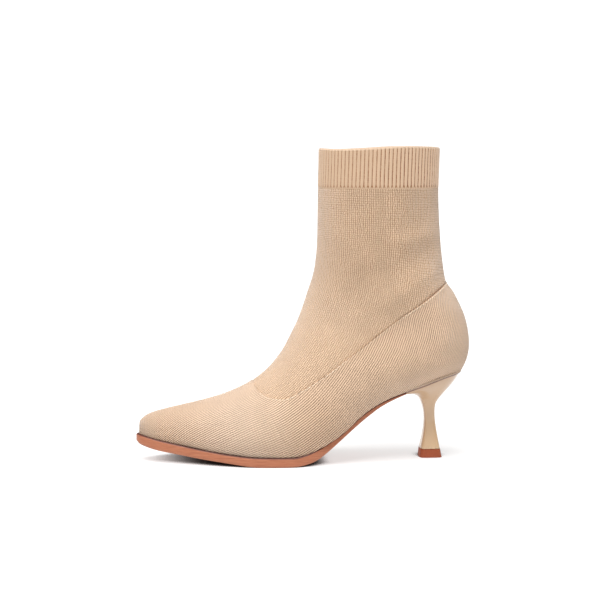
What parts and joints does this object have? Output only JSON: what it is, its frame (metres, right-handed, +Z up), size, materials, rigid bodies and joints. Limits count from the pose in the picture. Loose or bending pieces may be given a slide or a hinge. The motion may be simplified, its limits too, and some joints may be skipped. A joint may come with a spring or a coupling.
{
  "type": "knit ankle boot",
  "caption": "Left pull-on knit ankle boot with a pointed toe, ribbed sock cuff, sweeping quarter seam, slim leather-look sole and a waisted kitten heel.",
  "frame": {"origin": "floor level under the middle of the boot's box", "axes": "-X toward the toe, +X toward the heel, -Y toward the outer (lateral) side, +Z up"},
  "size_m": [0.253, 0.082, 0.236],
  "materials": {
    "foot_knit": "beige flat knit, matt",
    "shaft_knit": "beige stretch knit with a ribbed cuff, matt",
    "insole_lining": "pale beige lining, matt",
    "outsole_leather": "terracotta edge dye, satin",
    "heel_lacquer": "beige lacquer, semi-gloss",
    "top_lift_rubber": "terracotta, matt"
  },
  "bodies": {
    "root": {"upper": "foot_knit", "shaft": "shaft_knit", "insole": "insole_lining", "outsole": "outsole_leather", "heel": "heel_lacquer", "top_lift": "top_lift_rubber"}
  },
  "joints": []
}
